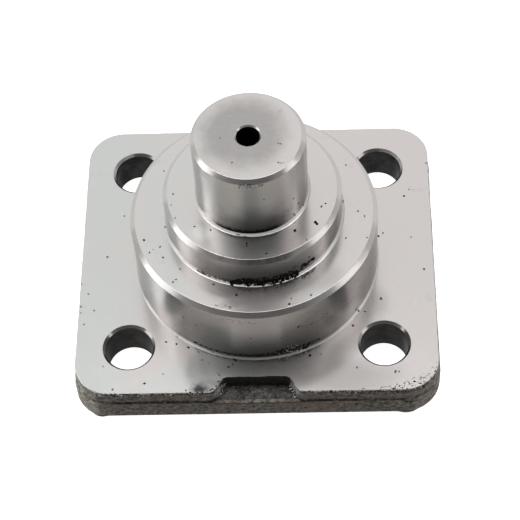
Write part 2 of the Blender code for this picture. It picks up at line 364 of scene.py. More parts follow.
class KingPinStudio(bpy.types.PropertyGroup):
    """Brightness of the soft lights and of the room round the part."""

    back_room: light_level("Back of Room", "Brightness of the white sweep behind", 0.98)
    front_room: light_level("Front of Room", "Brightness of the room in front", 0.19)
    front_ceiling: light_level("Front Ceiling", "Brightness above the camera", 0.135)
    top_softbox: light_level("Top Softbox", "Brightness of the softbox overhead", 3.0)
    left_softbox: light_level("Left Softbox", "Brightness of the left softbox", 2.0)
    right_softbox: light_level("Right Softbox", "Brightness of the right softbox", 1.4)
    left_strip: light_level("Left Strip", "Brightness of the low strip at the left", 4.2)
    right_strip: light_level("Right Strip", "Brightness of the low strip at the right", 2.0)
    front_bounce: light_level("Front Bounce", "Light thrown up by the bench in front", 0.4)


def arc_corner(before, corner, after, radius, steps=ARC_STEPS):
    """Points of the arc that rounds a corner of an outline; one point where it has no radius."""
    if radius == 0:
        return [corner]
    arm_in = (before - corner).normalized()
    arm_out = (after - corner).normalized()
    half_angle = arm_in.angle(arm_out) / 2
    reach = radius / math.tan(half_angle)
    centre = corner + (arm_in + arm_out).normalized() * radius / math.sin(half_angle)
    start = corner + arm_in * reach - centre
    sweep = start.angle_signed(corner + arm_out * reach - centre)
    points = []
    for step in range(steps + 1):
        turn = Matrix.Rotation(-sweep * step / steps, 2)
        points.append(centre + turn @ start)
    return points


def rounded_path(corners, closed, steps=ARC_STEPS):
    """A path through (x, y, radius) corners, with an arc at each that has a radius."""
    points = []
    count = len(corners)
    for index, (x, y, radius) in enumerate(corners):
        is_end = not closed and index in (0, count - 1)
        before = Vector(corners[index - 1][:2])
        after = Vector(corners[(index + 1) % count][:2])
        points += arc_corner(before, Vector((x, y)), after, 0 if is_end else radius, steps)
    return points


def side_lengths(points):
    """The lengths of a closed outline's sides, each from its point to the next."""
    following = points[1:] + points[:1]
    return [(after - point).length for point, after in zip(points, following)]


def spaced_outline(points, count):
    """The closed outline again, with this many evenly spaced points."""
    lengths = side_lengths(points)
    total = sum(lengths)
    spaced = []
    edge, passed = 0, 0.0
    for index in range(count):
        wanted = total * index / count
        while passed + lengths[edge] < wanted:
            passed += lengths[edge]
            edge += 1
        share = (wanted - passed) / lengths[edge]
        spaced.append(points[edge].lerp(points[(edge + 1) % len(points)], share))
    return spaced


def outward_normals(outline):
    """The outward direction at each point of a counterclockwise outline."""
    normals = []
    for index in range(len(outline)):
        along = outline[(index + 1) % len(outline)] - outline[index - 1]
        normals.append(Vector((along.y, -along.x)).normalized())
    return normals


def new_object(name, mesh):
    scene_object = bpy.data.objects.new(name, mesh)
    bpy.context.scene.collection.objects.link(scene_object)
    return scene_object


def object_from(shape, name):
    """A new object of an editable shape, which it uses up."""
    mesh = bpy.data.meshes.new(name)
    shape.to_mesh(mesh)
    shape.free()
    return new_object(name, mesh)


def plain_mesh(scene_object):
    """The evaluated shape as a plain mesh on the same object, without its modifiers."""
    graph = bpy.context.evaluated_depsgraph_get()
    shaped = bpy.data.meshes.new_from_object(scene_object.evaluated_get(graph))
    scene_object.modifiers.clear()
    old = scene_object.data
    scene_object.data = shaped
    bpy.data.meshes.remove(old)
    shaped.name = scene_object.name
    return scene_object


class Reading:
    """A value in a node tree; a sum written with it adds the maths nodes that work it out."""

    def __init__(self, socket):
        self.socket = socket
        self.tree = socket.id_data

    def __add__(self, other):
        return maths("ADD", self, other)

    def __radd__(self, other):
        return maths("ADD", other, self)

    def __sub__(self, other):
        return maths("SUBTRACT", self, other)

    def __rsub__(self, other):
        return maths("SUBTRACT", other, self)

    def __mul__(self, other):
        return maths("MULTIPLY", self, other)

    def __truediv__(self, other):
        return maths("DIVIDE", self, other)

    def __lt__(self, other):
        return maths("LESS_THAN", self, other)

    def __gt__(self, other):
        return maths("GREATER_THAN", self, other)

    def __abs__(self):
        return maths("ABSOLUTE", self)


def set_inputs(node, values):
    """Links or sets a node's input sockets, each by name or number."""
    for key, value in values.items():
        if isinstance(value, Reading):
            node.id_data.links.new(value.socket, node.inputs[key])
        else:
            node.inputs[key].default_value = value


def add_node(tree, kind, values=None, **settings):
    """A node with its settings made and its inputs set."""
    node = tree.nodes.new(kind)
    for name, value in settings.items():
        setattr(node, name, value)
    set_inputs(node, values or {})
    return node


def reading(tree, kind, values=None, output=0, **settings):
    """What a new node puts out."""
    return Reading(add_node(tree, kind, values, **settings).outputs[output])


def tree_of(*values):
    """The tree that the readings among these values belong to."""
    return next(value.tree for value in values if isinstance(value, Reading))


def maths(operation, *values):
    return reading(tree_of(*values), "ShaderNodeMath", dict(enumerate(values)), operation=operation)


def vector_math(operation, *values):
    output = 1 if operation in ("LENGTH", "DOT_PRODUCT") else 0
    return reading(tree_of(*values), "ShaderNodeVectorMath", dict(enumerate(values)), output,
                   operation=operation)


def scaled_vector(vector, factor):
    return reading(vector.tree, "ShaderNodeVectorMath", {0: vector, "Scale": factor},
                   operation="SCALE")


def xyz(x, y, z=0.0):
    return reading(tree_of(x, y, z), "ShaderNodeCombineXYZ", {0: x, 1: y, 2: z})


def parts_of(vector):
    """The X, Y and Z of a vector."""
    return [Reading(part) for part in
            add_node(vector.tree, "ShaderNodeSeparateXYZ", {0: vector}).outputs]


def new_geometry_tree(name, sockets):
    """A Geometry Nodes tree with a geometry input and output, and readings of its named inputs."""
    tree = bpy.data.node_groups.new(name, "GeometryNodeTree")
    tree.interface.new_socket("Geometry", in_out="INPUT", socket_type="NodeSocketGeometry")
    tree.interface.new_socket("Geometry", in_out="OUTPUT", socket_type="NodeSocketGeometry")
    for label, kind in sockets.items():
        tree.interface.new_socket(label, in_out="INPUT", socket_type="NodeSocket" + kind)
    outputs = tree.nodes.new("NodeGroupInput").outputs
    return tree, {output.name: Reading(output) for output in outputs}


def close_tree(tree, shape, material):
    """Gives a tree's shape its material and puts it out."""
    finished = reading(tree, "GeometryNodeSetMaterial", {"Geometry": shape, "Material": material})
    add_node(tree, "NodeGroupOutput", {0: finished})


def shape_by_tree(scene_object, tree, values):
    """Runs a Geometry Nodes tree on an object and keeps the result as its plain mesh."""
    modifier = scene_object.modifiers.new(tree.name, "NODES")
    modifier.node_group = tree
    for item in tree.interface.items_tree:
        if item.in_out == "INPUT" and item.name in values:
            modifier[item.identifier] = values[item.name]
    return plain_mesh(scene_object)


def turning_tree():
    """Turns a profile of radii (X) and heights (Z) about a vertical axis into a closed solid."""
    tree, given = new_geometry_tree("turned_about_axis", {
        "Segments": "Int", "Axis": "Vector", "Weld": "Float", "Material": "Material"})
    profile = given["Geometry"]
    count = reading(tree, "GeometryNodeAttributeDomainSize", {0: profile}, "Point Count")
    columns = given["Segments"] + 1.0
    sheet = reading(tree, "GeometryNodeMeshGrid", {"Vertices X": count, "Vertices Y": columns})
    index = reading(tree, "GeometryNodeInputIndex")
    row = maths("FLOOR", (index + 0.5) / columns)
    column = index - row * columns
    place = reading(tree, "GeometryNodeInputPosition")
    reach, _, height = parts_of(reading(tree, "GeometryNodeSampleIndex", {
        "Geometry": profile, "Value": place, "Index": row}, data_type="FLOAT_VECTOR"))
    angle = column / given["Segments"] * (2 * math.pi)
    turned = xyz(reach * maths("COSINE", angle), reach * maths("SINE", angle), height)
    shaped = reading(tree, "GeometryNodeSetPosition", {
        "Geometry": sheet, "Position": vector_math("ADD", turned, given["Axis"])})
    welded = reading(tree, "GeometryNodeMergeByDistance", {
        "Geometry": shaped, "Distance": given["Weld"]})
    real = reading(tree, "GeometryNodeRealizeInstances", {0: welded})
    close_tree(tree, real, given["Material"])
    return tree


def turned_object(name, profile, segments, x, y, material):
    """A closed solid turned from (radius, height) points, listed from the top down."""
    mesh = bpy.data.meshes.new(name)
    edges = [(index, index + 1) for index in range(len(profile) - 1)]
    mesh.from_pydata([(radius, 0.0, height) for radius, height in profile], edges, [])
    turned = new_object(name, mesh)
    tree = bpy.data.node_groups.get("turned_about_axis") or turning_tree()
    shape_by_tree(turned, tree, {
        "Segments": segments, "Axis": (x, y, 0.0), "Weld": WELD_DISTANCE, "Material": material})
    face_outwards(turned.data)
    return turned


def face_outwards(mesh):
    shape = bmesh.new()
    shape.from_mesh(mesh)
    bmesh.ops.recalc_face_normals(shape, faces=shape.faces)
    if shape.calc_volume(signed=True) < 0:
        bmesh.ops.reverse_faces(shape, faces=shape.faces)
    shape.to_mesh(mesh)
    shape.free()


def flange_outline(sizes, front_left_radius, front_right_radius, overhang):
    """The forging's outline, with its own radius and overhang at the front corners."""
    tip = sizes.lug_tip_width / 2
    root = tip + sizes.lug_flank_run
    corners = [
        (-HALF_WIDTH - overhang, FRONT_Y, front_left_radius),
        (HALF_WIDTH + overhang, FRONT_Y, front_right_radius),
        (HALF_WIDTH, REAR_Y, sizes.corner_radius),
        (root, REAR_Y, sizes.lug_radius),
        (tip, LUG_TIP_Y, sizes.lug_radius),
        (-tip, LUG_TIP_Y, sizes.lug_radius),
        (-root, REAR_Y, sizes.lug_radius),
        (-HALF_WIDTH, REAR_Y, sizes.corner_radius),
    ]
    return rounded_path(corners, closed=True, steps=OUTLINE_ARC_STEPS)


def quarter_round(distance, radius):
    """How far an edge rounding stands back, at this distance from the face that it ends on."""
    if distance >= radius:
        return 0.0
    return radius - math.sqrt(radius ** 2 - (radius - distance) ** 2)


def forging_lumps(place, relief):
    """Height of the forged skin at a place: long low lumps with finer grains on them."""
    broad_place = Vector((place.x * LUMPS_ALONG, place.y * LUMPS_ALONG, place.z * LUMPS_UP))
    fine_place = Vector((place.x * GRAINS_ALONG, place.y * GRAINS_ALONG, place.z * GRAINS_UP))
    broad = noise.fractal(broad_place, LUMP_ROUGHNESS, LUMP_LACUNARITY, LUMP_OCTAVES)
    return relief * (BROAD_SHARE * broad + FINE_SHARE * noise.noise(fine_place))


def flash_left(place, lump):
    """How far the flash stands out below the parting line at a place of the front edge."""
    if place.y > AXIS_Y:
        return 0.0
    return sum(lump * math.exp(-((place.x - x) / half_width) ** 4) for x, half_width in FLASH_LUMPS)


def forged_flange(sizes, finish):
    """The forging: drafted from its parting line, with a trimmed ridge of flash and a rough skin."""
    upper = flange_outline(sizes, sizes.corner_radius, sizes.corner_radius, 0.0)
    lower = flange_outline(sizes, sizes.lower_left_radius, sizes.lower_right_radius, sizes.lower_overhang)
    count = round(sum(side_lengths(upper)) / finish.skin_step)
    upper = spaced_outline(upper, count)
    lower = spaced_outline(lower, count)
    normals = outward_normals(upper)
    top_edge = sizes.edge_radius
    bottom_edge = sizes.underside_radius
    heights = [bottom_edge * share for share in (0, 0.05, 0.16, 0.34, 0.6)]
    between = FLANGE_TOP - top_edge - bottom_edge
    rows = round(between / (finish.skin_step * 0.6))
    heights += [bottom_edge + between * row / rows for row in range(rows + 1)]
    heights += [FLANGE_TOP - top_edge * share for share in (0.5, 0.15, 0)]
    shape = bmesh.new()
    rings = []
    for height in heights:
        below = sizes.parting_height - height
        ledge = min(max(below / LEDGE_RUN, 0.0), 1.0)
        inset = max(-below * math.tan(sizes.draft), below * math.tan(sizes.lower_draft))
        inset += quarter_round(height, bottom_edge) + quarter_round(FLANGE_TOP - height, top_edge)
        inset -= finish.parting_ridge * math.exp(-(below / RIDGE_REACH) ** 2)
        inset += finish.parting_ridge * 0.6 * math.exp(-((below + HOLLOW_RISE) / HOLLOW_REACH) ** 2)
        calm = min(1.0, (FLANGE_TOP - height) / RIM_RUN + 0.35) * min(1.0, height / RIM_RUN + 0.2)
        ring = []
        for above, under, normal in zip(upper, lower, normals):
            point = above.lerp(under, ledge)
            place = Vector((point.x, point.y, height))
            shift = forging_lumps(place, finish.forging_relief) * calm - inset
            shift += flash_left(place, finish.flash_lump) * ledge
            x, y = point.x + normal.x * shift, point.y + normal.y * shift
            ring.append(shape.verts.new((x, y, height)))
        rings.append(ring)
    for row, next_row in zip(rings, rings[1:]):
        for index in range(count):
            following = (index + 1) % count
            shape.faces.new((row[index], row[following], next_row[following], next_row[index]))
    shape.faces.new(reversed(rings[0]))
    shape.faces.new(rings[-1])
    return object_from(shape, "forged_flange")


def slot_half_width(sizes, inward):
    """Half the pry slot's width, this far in from the front edge."""
    floor_half = sizes.slot_floor_width / 2
    to_wall = sizes.slot_depth - inward
    half = floor_half + sizes.slot_flank_run * max(to_wall, 0.0) / sizes.slot_depth
    half += quarter_round(max(inward, 0.0), sizes.slot_mouth_radius) * SLOT_MOUTH_FLARE
    return half - quarter_round(max(to_wall, 0.0), sizes.slot_inner_radius)


def pry_slot_cutter(sizes, finish):
    """The slot's space, with a rough floor, inner wall and flanks."""
    shape = bmesh.new()
    bmesh.ops.create_cube(shape, size=2.0)
    bmesh.ops.subdivide_edges(shape, edges=shape.edges, cuts=SLOT_CUTS, use_grid_fill=True)
    top = FLANGE_TOP + OVERRUN
    outer = -OVERRUN
    for vertex in shape.verts:
        across, depth, rise = vertex.co
        inward = outer + (sizes.slot_depth - outer) * (depth + 1) / 2
        height = sizes.parting_height + (top - sizes.parting_height) * (rise + 1) / 2
        place = Vector((across * slot_half_width(sizes, inward), FRONT_Y + inward, height))
        lump = forging_lumps(place * SLOT_LUMP_SPREAD, finish.forging_relief * SLOT_LUMP_HEIGHT)
        place.x += lump * across
        place.y += lump * (depth + 1) / 2
        place.z -= lump * (1 - rise) / 2
        vertex.co = place
    cutter = object_from(shape, "pry_slot")
    face_outwards(cutter.data)
    return cutter


def stepped_pin(sizes, finish, material):
    """The three turned steps, with small roundings at each edge and a fillet at each foot."""
    edge = sizes.edge_radius
    fillet = sizes.foot_fillet
    pin = sizes.pin_diameter / 2
    shoulder = sizes.shoulder_diameter / 2
    pilot = sizes.pilot_diameter / 2
    floor = FLANGE_TOP - FILLET_DIP
    skirt = pilot + fillet * 1.02
    profile = rounded_path([
        (0.0, PIN_TOP, 0.0),
        (pin - sizes.pin_chamfer, PIN_TOP, edge),
        (pin, PIN_TOP - sizes.pin_chamfer, edge),
        (pin, SHOULDER_TOP, fillet),
        (shoulder - sizes.shoulder_chamfer, SHOULDER_TOP, edge),
        (shoulder, SHOULDER_TOP - sizes.shoulder_chamfer, edge),
        (shoulder, PILOT_TOP, fillet),
        (pilot - sizes.pilot_chamfer, PILOT_TOP, edge),
        (pilot, PILOT_TOP - sizes.pilot_chamfer, edge),
        (pilot, floor, fillet),
        (skirt, floor, 0.0),
        (skirt, sizes.parting_height, 0.0),
        (0.0, sizes.parting_height, 0.0),
    ], closed=False)
    return turned_object("stepped_pin", profile, finish.turning_segments, 0.0, AXIS_Y, material)


def drill(name, diameter, chamfer, top, x, y, material):
    """A drill's path from the underside to the face at top, countersunk at both rims."""
    radius = diameter / 2
    flare = radius + chamfer + OVERRUN
    profile = [
        (0.0, top + OVERRUN),
        (flare, top + OVERRUN),
        (radius, top - chamfer),
        (radius, chamfer),
        (flare, -OVERRUN),
        (0.0, -OVERRUN),
    ]
    return turned_object(name, profile, DRILL_SEGMENTS, x, y, material)


def bolt_places(sizes):
    across, along = sizes.bolt_spacing
    return [Vector((side_x * across / 2, AXIS_Y + side_y * along / 2, 0.0))
            for side_y in (-1, 1) for side_x in (-1, 1)]


def combine(target, other, operation):
    boolean = target.modifiers.new(other.name, "BOOLEAN")
    boolean.operation = operation
    boolean.object = other
    boolean.solver = "EXACT"


def surface_kind(sizes, centre, normal):
    """Which finish a face of the pin has, from its place and the way it faces."""
    if abs(centre.z - FLANGE_TOP) < HAIR and normal.z > LEVEL:
        return FACED
    if centre.z < HAIR:
        return FORGED
    radius = math.hypot(centre.x, centre.y - AXIS_Y)
    if radius < sizes.grease_diameter / 2 + HAIR:
        return BORED
    if centre.z > FLANGE_TOP + HAIR and normal.z > LEVEL:
        return FACED
    for place in bolt_places(sizes):
        away = math.hypot(centre.x - place.x, centre.y - place.y)
        if away < sizes.bolt_diameter / 2 + HAIR:
            return BORED
        if away < sizes.bolt_diameter / 2 + sizes.bolt_chamfer:
            return FACED
    skirt = sizes.pilot_diameter / 2 + sizes.foot_fillet
    if centre.z > FLANGE_TOP - sizes.foot_fillet and radius < skirt:
        return TURNED
    in_slot = abs(centre.x) < slot_half_width(sizes, 0.0) and FRONT_Y + SLOT_RIM < centre.y < AXIS_Y
    if in_slot and centre.z > sizes.parting_height - SLOT_FLOOR_MARGIN:
        return SLOTTED
    return FORGED


def finish_shading(scene_object, materials, kind_of):
    """Gives each face its material and smooths the shading between sharp edges."""
    mesh = scene_object.data
    mesh.materials.clear()
    for material in materials:
        mesh.materials.append(material)
    for polygon in mesh.polygons:
        polygon.material_index = kind_of(polygon.center, polygon.normal)
    mesh.shade_smooth()
    mesh.set_sharp_from_angle(angle=SHARP_ANGLE)
    shape = bmesh.new()
    shape.from_mesh(mesh)
    for face in shape.faces:
        if len(face.verts) > WIDE_FACE_CORNERS or face.normal.z > 0.9999:
            for edge in face.edges:
                edge.smooth = False
    shape.to_mesh(mesh)
    shape.free()


def texture_place(tree, kind):
    return reading(tree, "ShaderNodeTexCoord", output=kind)


def centred_place(tree):
    """Object coordinates measured from the pin's axis, whole and as X, Y and Z."""
    centred = reading(tree, "ShaderNodeMapping", {
        "Vector": texture_place(tree, "Object"), "Location": (0.0, -AXIS_Y, 0.0)})
    return centred, parts_of(centred)


def stretched(place, x, y, z):
    return reading(place.tree, "ShaderNodeMapping", {"Vector": place, "Scale": (x, y, z)})


def noise_value(place, scale, detail=2.0, roughness=0.5):
    return reading(place.tree, "ShaderNodeTexNoise", {
        "Vector": place, "Scale": scale, "Detail": detail, "Roughness": roughness}, "Fac")


def mixed_color(share, first, second, blend="MIX"):
    """A mix of two colours; each may be a colour or a reading."""
    values = [value if isinstance(value, (Reading, float)) else (*value, 1.0)
              for value in (share, first, second)]
    return reading(tree_of(*values), "ShaderNodeMix", dict(zip((0, 6, 7), values)), 2,
                   data_type="RGBA", blend_type=blend)


def ramp(value, low, high, to_low=0.0, to_high=1.0, kind="LINEAR"):
    """The value's place between low and high, as a place between two other values."""
    return reading(value.tree, "ShaderNodeMapRange", {
        0: value, 1: low, 2: high, 3: to_low, 4: to_high}, interpolation_type=kind)


def ease(value, low, high, to_low=0.0, to_high=1.0):
    """A ramp that starts and ends softly."""
    return ramp(value, low, high, to_low, to_high, "SMOOTHSTEP")


def rgb(red, green, blue):
    return reading(red.tree, "ShaderNodeCombineColor", {0: red, 1: green, 2: blue})


def fine_relief(height, strength, distance):
    return reading(height.tree, "ShaderNodeBump", {
        "Strength": strength, "Distance": distance, "Height": height})


def new_material(name):
    material = bpy.data.materials.new(name)
    material.use_nodes = True
    tree = material.node_tree
    return material, tree, tree.nodes["Principled BSDF"]


def scaled(color, factor):
    return tuple(min(channel * factor, 1.0) for channel in color)


def tinted(color, tint):
    return tuple(channel * share for channel, share in zip(color, tint))


def level_direction(angle):
    """The level direction at an angle from the front, towards the right."""
    return math.sin(angle), -math.cos(angle), 0.0


def tool_marks(parts, radius):
    """Fine rings left by the cutting tool, round the axis on walls and faces alike."""
    x, y, z = parts
    along = (z + radius * RING_TILT) * RINGS_PER_METRE
    return noise_value(xyz(x * RING_SPREAD, y * RING_SPREAD, along), 1.0, 5.0, 0.62)


def foot_dirt_shade_and_highlight(centred, parts, radius):
    """How much dirt, partly painted shade, and painted shade lie on a wall just above its foot, and where
    the fillet's painted highlight is.
    """
    x, y, z = parts
    # Which wall this is, how high above its foot, and which way it faces
    past_shoulder = radius < PAST_SHOULDER
    past_pin = radius < PAST_PIN
    on_shoulder = past_shoulder - past_pin
    on_pilot = radius > ON_PILOT
    foot = past_shoulder * (PILOT_TOP - FLANGE_TOP) + past_pin * (SHOULDER_TOP - PILOT_TOP)
    height = z - (FLANGE_TOP + foot)
    at_right = ramp(x, -0.01, 0.01)
    side = x / radius
    aside = abs(side)
    upright = ramp(parts_of(texture_place(centred.tree, "Normal"))[2], 0.2, 0.5, 1.0, 0.0)
    outwards = vector_math("NORMALIZE", xyz(x, y))
    towards_front = vector_math("DOT_PRODUCT", outwards, level_direction(DIRT_AND_SHADE_MIDDLE))
    towards_pin_dirt_and_shade = vector_math("DOT_PRODUCT", outwards, level_direction(PIN_DIRT_AND_SHADE_MIDDLE))
    ragged = noise_value(centred, 700.0, 4.0, 0.7)

    # Dried dirt in a ragged band, taller and softer on the pin; kept to the front, it is partly painted
    # shade
    top_edge = ramp(ragged, 0.3, 0.7, 0.0013, 0.0032) + past_pin * 0.0016
    softness = ramp(past_pin, 0.0, 1.0, 0.0006, 0.0026)
    below_edge = ease(top_edge - height, -0.0004, softness)
    above_fillet = ease(height, 0.0006, 0.00095)
    narrower = (radius - 0.02) * 6.0
    towards_dirt_and_shade = ramp(past_pin, 0.0, 1.0, towards_front, towards_pin_dirt_and_shade)
    at_front = ease(towards_dirt_and_shade - narrower, 0.74, 0.92)
    dirt = at_front * (below_edge * above_fillet)

    # Painted shade in front, darker towards the foot, and beside it
    painted_shade = ease(towards_front, 0.84, 1.0) * ramp(height, 0.002, 0.018, 0.86, 0.0)
    # Painted shade towards the walls' sides: on the shoulder, on the pilot's right and in a band on the
    # pilot's left
    beside = ease(aside, 0.77, 0.86) * ease(aside, 0.925, 0.975, 1.0, 0.12)
    beside = beside * ramp(on_shoulder * at_right, 0.0, 1.0, 0.36, 0.5)
    pilot_right_shade = ease(towards_front, 0.86, 0.95, 0.66, 0.0) * ease(towards_front, 0.66, 0.86, 0.35, 1.0)
    pilot_right_shade = pilot_right_shade * ramp(towards_front, 0.35, 0.5) * at_right
    pilot_right_shade = pilot_right_shade * ramp(height, 0.005, 0.012, 0.3, 1.0)
    beside = ramp(on_pilot * at_right, 0.0, 1.0, beside, pilot_right_shade)
    beside = beside * ramp(ragged, 0.3, 0.7, 0.85, 1.05)
    pilot_left_shade = ease(side, -0.71, -0.64, 0.0, 0.3) * ease(side, -0.58, -0.5, 1.0, 0.0) * on_pilot
    painted_shade = maths("MAXIMUM", painted_shade, maths("MAXIMUM", beside, pilot_left_shade)) * upright

    # Painted shade on the chamfers, in front and towards the sides
    on_chamfer = ramp(on_shoulder, 0.0, 1.0, 0.25, 0.65) * ramp(ragged, 0.38, 0.6, 0.8, 1.15)
    dimmed = ease(aside, 0.89, 0.95, 0.0, 0.24) * ease(aside, 0.98, 0.998, 1.0, 0.0) * (y < 0.0)
    in_front = on_chamfer * ease(towards_front, 0.93, 0.99)
    chamfer_shade = (1.0 - upright) * maths("MAXIMUM", in_front, dimmed)
    painted_shade = maths("MAXIMUM", painted_shade, chamfer_shade * (height > 0.01))

    # Painted highlight on the fillet, less so at the sides and where the pilot's foot is soiled
    fillet = ramp(height, 0.0007, 0.00105, 1.0, 0.0) * ease(towards_front, 0.15, 0.55, 0.15, 1.0)
    fillet = fillet * ramp(side, 0.5, 0.8, 1.0, 0.6) * ease(aside, 0.86, 0.96, 1.0, 0.3)
    soiled = on_pilot * ramp(towards_front, 0.76, 0.92, 0.0, 0.95)
    return dirt, painted_shade, fillet * (1.0 - soiled)


def level_stain_and_highlight(centred, patches, x, y, height, half_width, half_height, strength, ragged):
    """A soft stain or painted highlight on a level face, placed and sized in pixels of the photograph."""
    sight = sight_line(x, y)
    place = CAMERA_EYE + sight * (height - CAMERA_EYE.z) / sight.z
    span = pixel_span(place)
    offset = vector_math("SUBTRACT", centred, (place.x, place.y - AXIS_Y, height))
    shares = vector_math("MULTIPLY", offset, (
        1 / (half_width * span), -sight.z / (half_height * span), STAIN_LEVEL_SHARE))
    uneven = patches * 0.8 + noise_value(centred, 300.0, 4.0, 0.65) * ragged
    away = vector_math("LENGTH", shares) + (uneven - (0.4 + ragged / 2))
    return ease(away, 0.25, 1.0, strength, 0.0)


def level_face_color(steel, base, centred, parts, patches, stains):
    """A level face's colour: a darker middle on the pin's end, painted shade on the chamfers, stains and
    painted highlights.
    """
    x, y, z = parts
    # The pin's end darker in its middle, fading out towards its rim, in streaks
    from_middle = vector_math("LENGTH", xyz(x + PIN_END_DARK_MIDDLE[0], y - PIN_END_DARK_MIDDLE[1]))
    worn = ease(from_middle + stains * 0.007, 0.013, 0.0222, 0.63, 0.0)
    darkening_streaks = noise_value(stretched(centred, 1.0, 2.2, 1.0), 420.0, 4.0, 0.65)
    worn = worn * ramp(darkening_streaks, 0.35, 0.65, 0.93, 1.05)
    base = mixed_color((z > PIN_TOP - 0.001) * worn, base, scaled(steel, 0.42))
    # Painted shade: faces tilted away from level, such as the bolt holes' chamfers, darker
    tilt = parts_of(texture_place(centred.tree, "Normal"))[2]
    base = mixed_color(ramp(tilt, 0.8, 0.9, 0.6, 0.0), base, scaled(steel, 0.35))
    # Stains darken the steel; the gleams are painted highlights
    for marks, factor in ((LEVEL_STAINS, 0.12), (LEVEL_GLEAMS, 1.55)):
        for mark in marks:
            share = level_stain_and_highlight(centred, patches, *mark)
            base = mixed_color(share, base, scaled(steel, factor))
    return base


def turned_steel(name, finish, roughness, anisotropy, mark_strength, walls):
    """Bright steel with tool rings, soft warm and cool patches and thin stains; on walls also dirt,
    painted shade and a painted highlight on the fillet.
    """
    material, tree, shader = new_material(name)
    centred, parts = centred_place(tree)
    x, y, _ = parts
    radius = vector_math("LENGTH", xyz(x, y))
    steel = finish.steel_color
    rings = tool_marks(parts, radius)
    patches = noise_value(centred, 38.0)
    stains = noise_value(centred, 120.0, 5.0, 0.65)
    warmth = patches + ramp(x, -0.062, -0.045, -0.2, 0.0) + ramp(x, 0.0, 0.035, 0.0, 0.2)
    tint = mixed_color(ease(warmth, 0.38, 0.62), tinted(steel, COOL_TINT), tinted(steel, WARM_TINT))
    dimmest, brightest, stain_share = (0.965, 1.02, 0.14) if walls else (0.985, 1.008, 0.3)
    streak = ramp(rings, 0.3, 0.72, dimmest, brightest)
    streaked = mixed_color(1.0, tint, rgb(streak, streak, streak), "MULTIPLY")
    base = mixed_color(ease(stains, 0.6, 0.78, 0.0, stain_share), streaked, scaled(steel, 0.55))
    rough = (ramp(rings, 0.3, 0.7, -0.012, 0.015)
             + ramp(stains, 0.45, 0.75, roughness, roughness + 0.04))
    if walls:
        dirt, painted_shade, fillet = foot_dirt_shade_and_highlight(centred, parts, radius)
        # Painted shade on the walls
        base = mixed_color(painted_shade, base, PAINTED_SHADE_COLOR)
        # Painted highlight on the fillet, made less metallic so that it shows bright
        base = mixed_color(fillet, base, scaled(steel, 1.58))
        # Dirt at the foot, partly painted shade
        base = mixed_color(dirt, base, finish.grime_color)
        rough = rough + dirt * 0.3 + fillet * 0.22
        metallic = ramp(fillet, 0.0, 1.0, 1.0, 0.1)
    else:
        base = level_face_color(steel, base, centred, parts, patches, stains)
        metallic = 0.93
    set_inputs(shader, {
        "Base Color": base, "Metallic": metallic, "Roughness": rough,
        "Anisotropic": anisotropy, "Anisotropic Rotation": 0.25,
        "Tangent": vector_math("NORMALIZE", xyz(y * -1.0, x)),
        "Normal": fine_relief(rings, mark_strength, 0.00002)})
    return material


def outer_skin(steel, scale, worn, centred, parts, bright_edge):
    """The skin's shadows, under its edge and along the parting line, and its bare bright edge."""
    x, _, z = parts
    below = FLANGE_TOP - z
    grains = noise_value(centred, 900.0, 3.0)
    drifting = noise_value(centred, 130.0)
    under = ease(below, 0.0003, 0.0006) * ease(below, 0.0009, 0.0016, 1.0, 0.0)
    under = under * ramp(grains, 0.38, 0.55, 0.15, 1.0)
    wander = (drifting - 0.5) * 0.0012 - ramp(abs(x), 0.0145, 0.0165, 0.0011, 0.0)
    line = ease(abs(z - PARTING_SHADOW - wander), 0.0002, 0.0008, 1.0, 0.0)
    line = line * ramp(grains, 0.36, 0.52, 0.2, 1.0) * ramp(x, 0.025, 0.05, 1.0, 0.4)
    line = line * ramp(x, -0.058, -0.05, 0.25, 1.0)
    worn = mixed_color(maths("MAXIMUM", under, line), worn, scaled(scale, 0.06))
    reach = ramp(drifting, 0.38, 0.56, 0.4 * bright_edge, 2.6 * bright_edge)
    bare = below < ramp(grains, 0.35, 0.65, 0.1, 1.0) * reach
    return mixed_color(bare, worn, scaled(steel, 1.05)), bare * 0.65 + 0.35


def slot_skin(steel, scale, worn, parts, lumps, speckle):
    """The slot's walls darkened as painted shade, its darker lip, its salted floor and the painted
    highlights on its flanks.
    """
    facing_x, _, facing_z = parts_of(texture_place(worn.tree, "Normal"))
    # Painted shade: the slot's walls, which don't face up, darker than its floor
    inner = ease(facing_z, 0.3, 0.7, 0.7, 0.0)
    color = mixed_color(inner, worn, scaled(scale, 0.12))
    salted = ramp(speckle, 0.53, 0.66, 0.0, 0.12) * (1.0 - inner)
    color = mixed_color(salted, color, scaled(steel, 0.7))
    front = FRONT_Y - AXIS_Y
    lip = ramp(parts[1], front + 0.0008, front + 0.0022, 0.8, 0.0) * ramp(lumps, 0.4, 0.55, 1.0, 0.4)
    color = mixed_color(lip, color, scaled(scale, 0.12))
    # Painted highlights on the slot's flanks, which face the side lights
    flank_highlight = ease(abs(facing_x), 0.55, 0.8) * ramp(lumps, 0.42, 0.52, 0.1, 0.9)
    return mixed_color(flank_highlight, color, scaled(steel, 0.75)), 0.35


